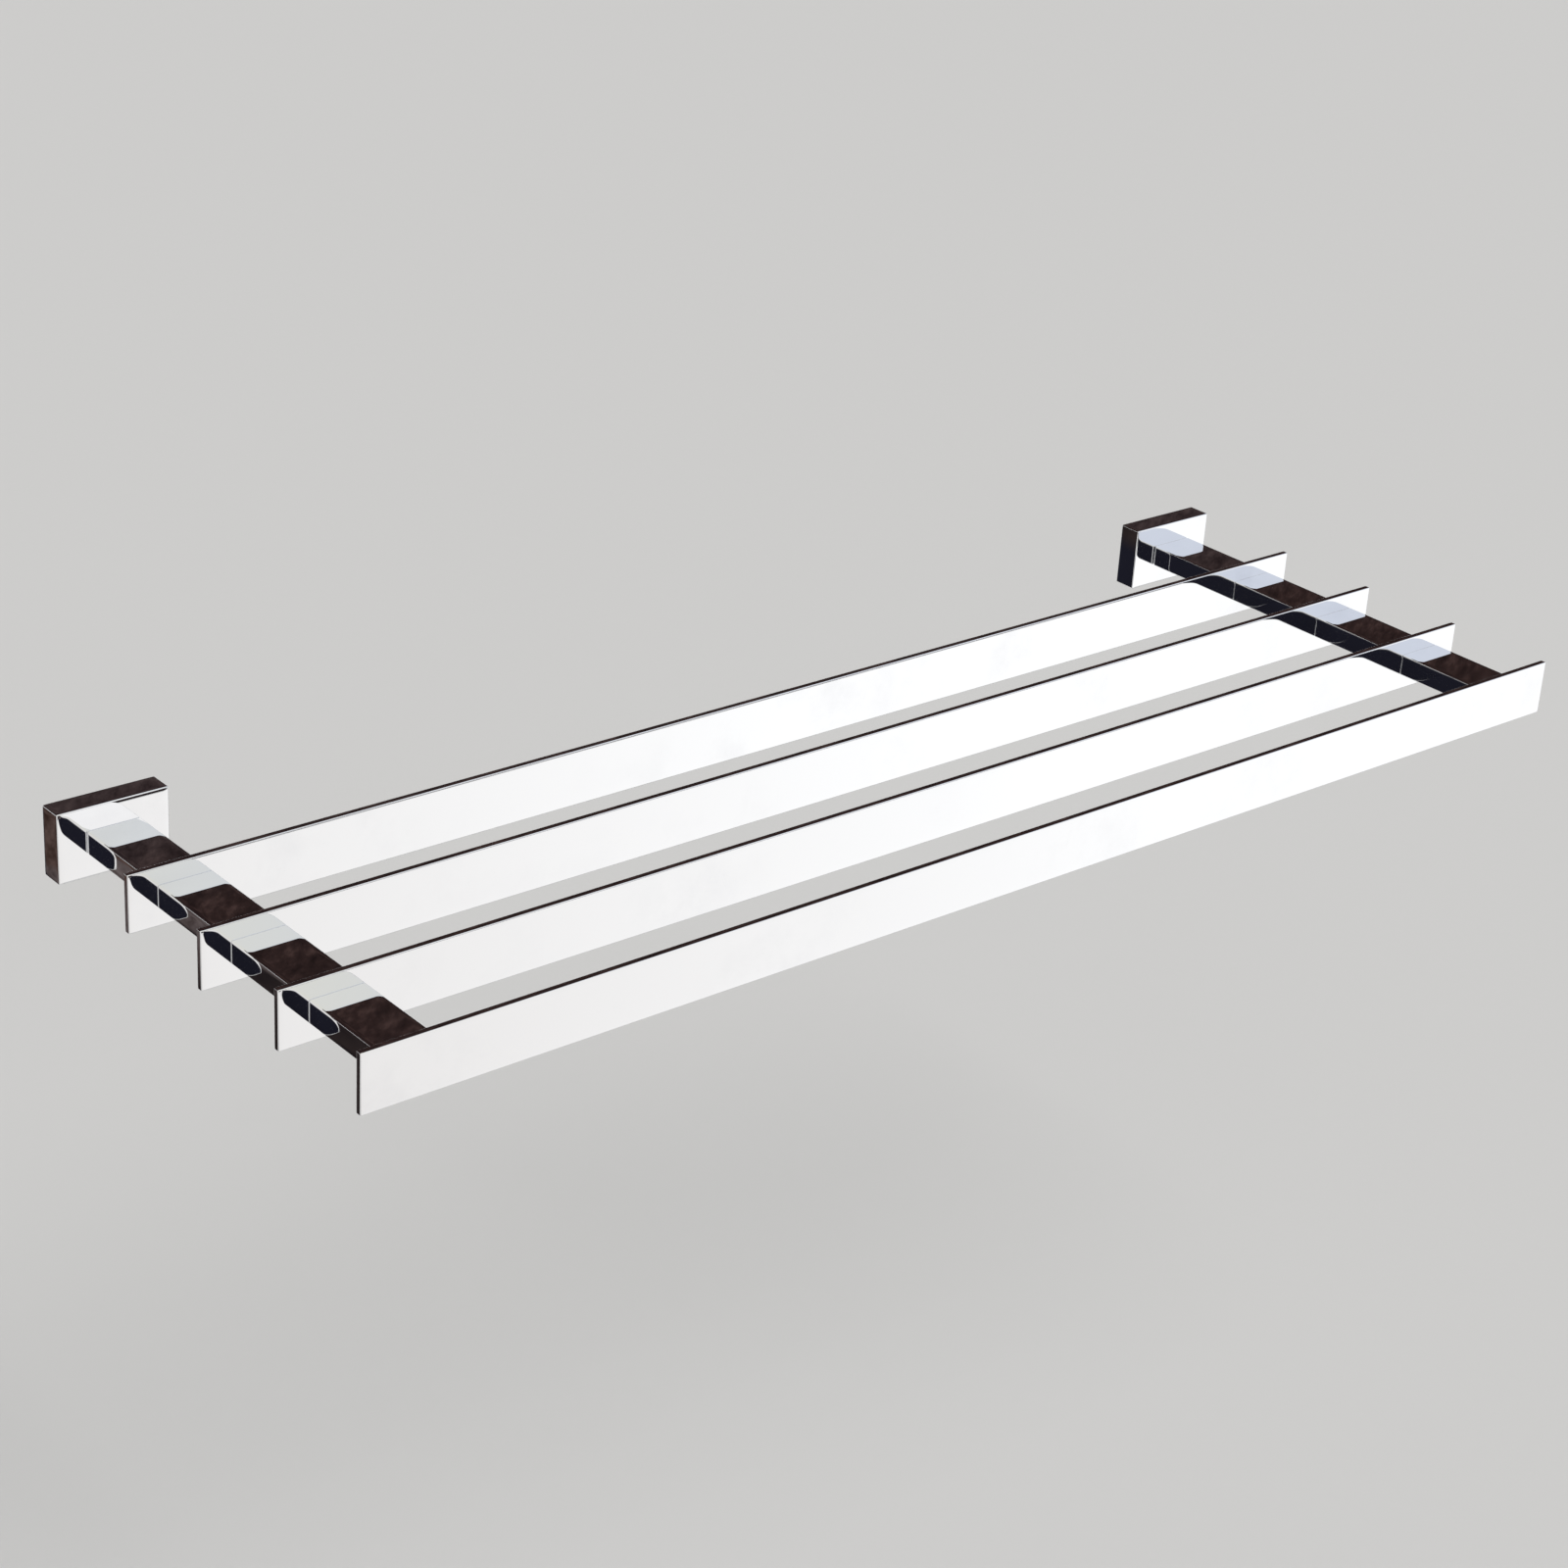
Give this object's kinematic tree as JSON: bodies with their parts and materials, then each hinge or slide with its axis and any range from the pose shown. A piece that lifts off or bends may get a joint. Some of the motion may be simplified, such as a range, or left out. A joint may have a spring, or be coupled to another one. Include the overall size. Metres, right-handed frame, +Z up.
{
  "type": "towel rack",
  "caption": "Wall-hung towel rack: a row of flat bars standing on edge, joined near both ends by block-built arms that spring from rectangular wall covers.",
  "frame": {"origin": "on the wall plane, midway between the two arms and at their mid height", "axes": "+X along the wall and along the slats, to the right for someone facing the wall; +Y into the wall, so the slats stand towards -Y; +Z up"},
  "size_m": [0.65, 0.2425, 0.031],
  "materials": {
    "polished_chrome": "mirror polished chrome plate",
    "zinc_plate": "dull zinc-plated steel",
    "plain_steel": "plain steel rod",
    "black_oxide": "black-oxide steel"
  },
  "bodies": {
    "root": {"slat_rear": "polished_chrome", "slat_mid_rear": "polished_chrome", "slat_mid_front": "polished_chrome", "slat_front": "polished_chrome", "arm_left_block_1": "polished_chrome", "arm_left_block_2": "polished_chrome", "arm_left_block_3": "polished_chrome", "arm_left_block_4": "polished_chrome", "arm_right_block_1": "polished_chrome", "arm_right_block_2": "polished_chrome", "arm_right_block_3": "polished_chrome", "arm_right_block_4": "polished_chrome", "wall_cover_left": "polished_chrome", "wall_cover_right": "polished_chrome", "wall_bracket_left": "zinc_plate", "wall_bracket_right": "zinc_plate", "tie_rod_left": "plain_steel", "tie_rod_right": "plain_steel", "rod_washer_left": "zinc_plate", "rod_washer_right": "zinc_plate", "rod_nut_left": "zinc_plate", "rod_nut_right": "zinc_plate", "grub_screw_left": "black_oxide", "grub_screw_right": "black_oxide", "wall_screw_left_outer": "zinc_plate", "wall_screw_left_inner": "zinc_plate", "wall_screw_right_outer": "zinc_plate", "wall_screw_right_inner": "zinc_plate"}
  },
  "joints": []
}
